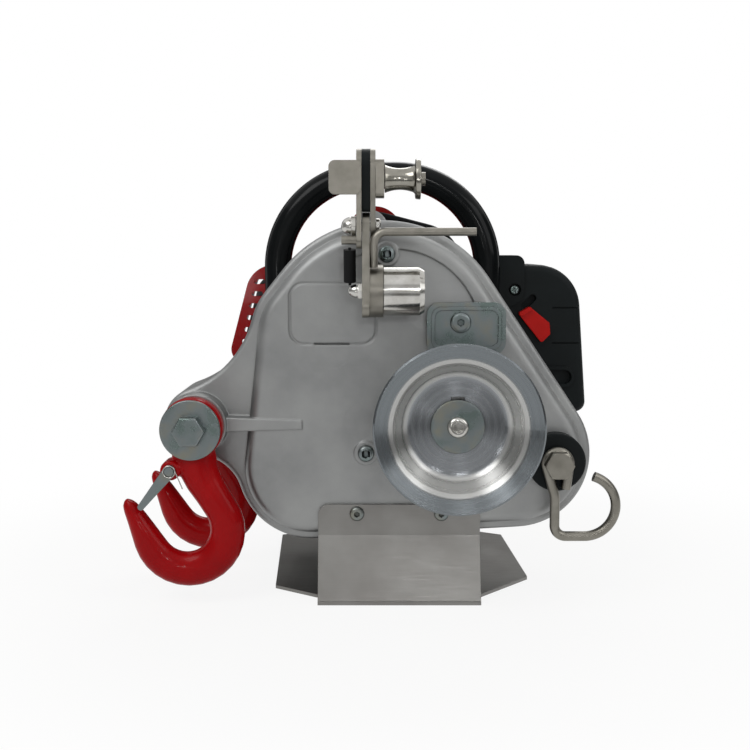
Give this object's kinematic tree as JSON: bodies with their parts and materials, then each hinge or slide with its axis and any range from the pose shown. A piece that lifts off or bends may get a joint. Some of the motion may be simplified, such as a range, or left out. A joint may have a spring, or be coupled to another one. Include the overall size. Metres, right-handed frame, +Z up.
{
  "type": "capstan winch",
  "caption": "Portable engine-driven capstan rope winch: cast gear housing on a sheet skid, spool drum, rope guide, rope exit hook, swinging anchor hooks and carry handle.",
  "frame": {"origin": "on the ground, under the middle of the skid's front panel width, below the gear housing", "axes": "+X to the right seen from the drum, +Y from the drum's face to the engine, +Z up"},
  "size_m": [0.4264, 0.362, 0.3855],
  "materials": {
    "cast_aluminium": "bead blasted casting",
    "turned_aluminium": "turned and polished",
    "zinc_steel": "zinc plated",
    "stainless": "polished stainless",
    "stainless_sheet": "brushed sheet",
    "gear_steel": "hobbed and hardened",
    "red_enamel": "gloss enamel",
    "black_coat": "gloss powder coat",
    "black_plastic": "moulded",
    "red_plastic": "moulded",
    "black_rubber": "moulded",
    "gasket_paper": "pressed fibre sheet"
  },
  "bodies": {
    "frame": {"front_cover": "cast_aluminium", "rear_case": "cast_aluminium", "housing_gasket": "gasket_paper", "rim_screws": "zinc_steel", "oil_plugs": "zinc_steel", "bracket_screws": "zinc_steel", "shaft_bearings": "gear_steel", "drum_guard": "zinc_steel", "skid_plate": "stainless_sheet", "carry_handle": "black_coat", "handle_bolts": "zinc_steel", "hook_pin_bolt": "zinc_steel", "hook_washers": "zinc_steel", "hook_lock_nut": "zinc_steel", "exit_bushing": "black_plastic", "exit_bolt": "zinc_steel", "guide_plate": "stainless", "guide_acorn_nuts": "stainless", "guide_bolts": "stainless", "keeper_rod": "stainless", "stopper_spring": "black_rubber", "clutch_housing": "cast_aluminium", "engine_block": "cast_aluminium", "top_cover": "red_plastic", "throttle_conduit": "black_rubber", "muffler": "black_coat", "muffler_guard": "red_enamel", "air_cleaner": "black_plastic", "fuel_tank": "black_plastic", "recoil_cover": "red_plastic", "starter_handle": "black_plastic"},
    "drum": {"capstan_drum": "turned_aluminium", "drum_washer": "zinc_steel", "drum_bolt": "zinc_steel", "drum_shaft": "gear_steel", "drum_key": "gear_steel", "output_gear": "gear_steel"},
    "low_layshaft": {"low_shaft": "gear_steel", "low_gear": "gear_steel"},
    "high_layshaft": {"high_shaft": "gear_steel", "high_gear": "gear_steel"},
    "input": {"input_shaft": "gear_steel", "clutch_bell": "gear_steel"},
    "crank": {"crankshaft": "gear_steel", "clutch_shoes": "gear_steel", "flywheel": "cast_aluminium"},
    "front_hook": {"front_hook": "red_enamel", "front_latch_pin": "zinc_steel"},
    "front_latch": {"front_latch": "zinc_steel"},
    "rear_hook": {"rear_hook": "red_enamel", "rear_latch_pin": "zinc_steel"},
    "rear_latch": {"rear_latch": "zinc_steel"},
    "exit_hook": {"rope_exit_hook": "stainless"},
    "stopper_arm": {"arm_left_cheek": "stainless", "arm_right_cheek": "stainless", "arm_spacer": "black_plastic"},
    "spool": {"spool_roller": "stainless"},
    "roller": {"guide_roller": "stainless"},
    "choke": {"choke_lever": "red_plastic"},
    "cap": {"fuel_cap": "black_plastic"}
  },
  "joints": [
    {"name": "drum_spin", "type": "hinge", "parent": "frame", "child": "drum", "pos_m": [0.046, -0.12, 0.162], "axis": [0, 1, 0], "continuous": true},
    {"name": "low_spin", "type": "hinge", "parent": "frame", "child": "low_layshaft", "pos_m": [-0.03181, -0.035, 0.15656], "axis": [0, 1, 0], "continuous": true},
    {"name": "high_spin", "type": "hinge", "parent": "frame", "child": "high_layshaft", "pos_m": [-0.05814, -0.035, 0.21858], "axis": [0, 1, 0], "continuous": true},
    {"name": "input_spin", "type": "hinge", "parent": "frame", "child": "input", "pos_m": [-0.00899, 0.01, 0.25299], "axis": [0, 1, 0], "continuous": true},
    {"name": "crank_spin", "type": "hinge", "parent": "frame", "child": "crank", "pos_m": [-0.00899, 0.049, 0.25299], "axis": [0, 1, 0], "continuous": true},
    {"name": "front_hook_swing", "type": "hinge", "parent": "frame", "child": "front_hook", "pos_m": [-0.176, -0.0944, 0.154], "axis": [0, 1, 0], "range_deg": [-75, 100]},
    {"name": "front_latch_open", "type": "hinge", "parent": "front_hook", "child": "front_latch", "pos_m": [-0.194, -0.0944, 0.119], "axis": [0, 1, 0], "range_deg": [-45, 0], "stiffness_Nm_per_rad": 0.1, "springref_deg": 34.38},
    {"name": "rear_hook_swing", "type": "hinge", "parent": "frame", "child": "rear_hook", "pos_m": [-0.176, 0.0254, 0.154], "axis": [0, 1, 0], "range_deg": [-75, 100]},
    {"name": "rear_latch_open", "type": "hinge", "parent": "rear_hook", "child": "rear_latch", "pos_m": [-0.194, 0.0254, 0.119], "axis": [0, 1, 0], "range_deg": [-45, 0], "stiffness_Nm_per_rad": 0.1, "springref_deg": 34.38},
    {"name": "exit_hook_swing", "type": "hinge", "parent": "frame", "child": "exit_hook", "pos_m": [0.135, -0.0926, 0.123], "axis": [0, 1, 0], "range_deg": [-50, 60]},
    {"name": "stopper_swing", "type": "hinge", "parent": "frame", "child": "stopper_arm", "pos_m": [-0.0283, -0.115, 0.323], "axis": [1, 0, 0], "range_deg": [0, 35], "stiffness_Nm_per_rad": 0.15, "springref_deg": -40.11},
    {"name": "spool_spin", "type": "hinge", "parent": "stopper_arm", "child": "spool", "pos_m": [0.001, -0.115, 0.361], "axis": [1, 0, 0], "continuous": true},
    {"name": "roller_spin", "type": "hinge", "parent": "frame", "child": "roller", "pos_m": [0.003, -0.115, 0.2707], "axis": [1, 0, 0], "continuous": true},
    {"name": "choke_turn", "type": "hinge", "parent": "frame", "child": "choke", "pos_m": [0.139, 0.042, 0.226], "axis": [0, 1, 0], "range_deg": [-40, 0]},
    {"name": "cap_turn", "type": "hinge", "parent": "frame", "child": "cap", "pos_m": [-0.078, 0.146, 0.17], "axis": [0, 0, 1], "continuous": true}
  ],
  "couplings": [
    {"joint": "low_spin", "follows": "drum_spin", "ratio": -5},
    {"joint": "high_spin", "follows": "drum_spin", "ratio": 22.5},
    {"joint": "input_spin", "follows": "drum_spin", "ratio": -106.07}
  ]
}
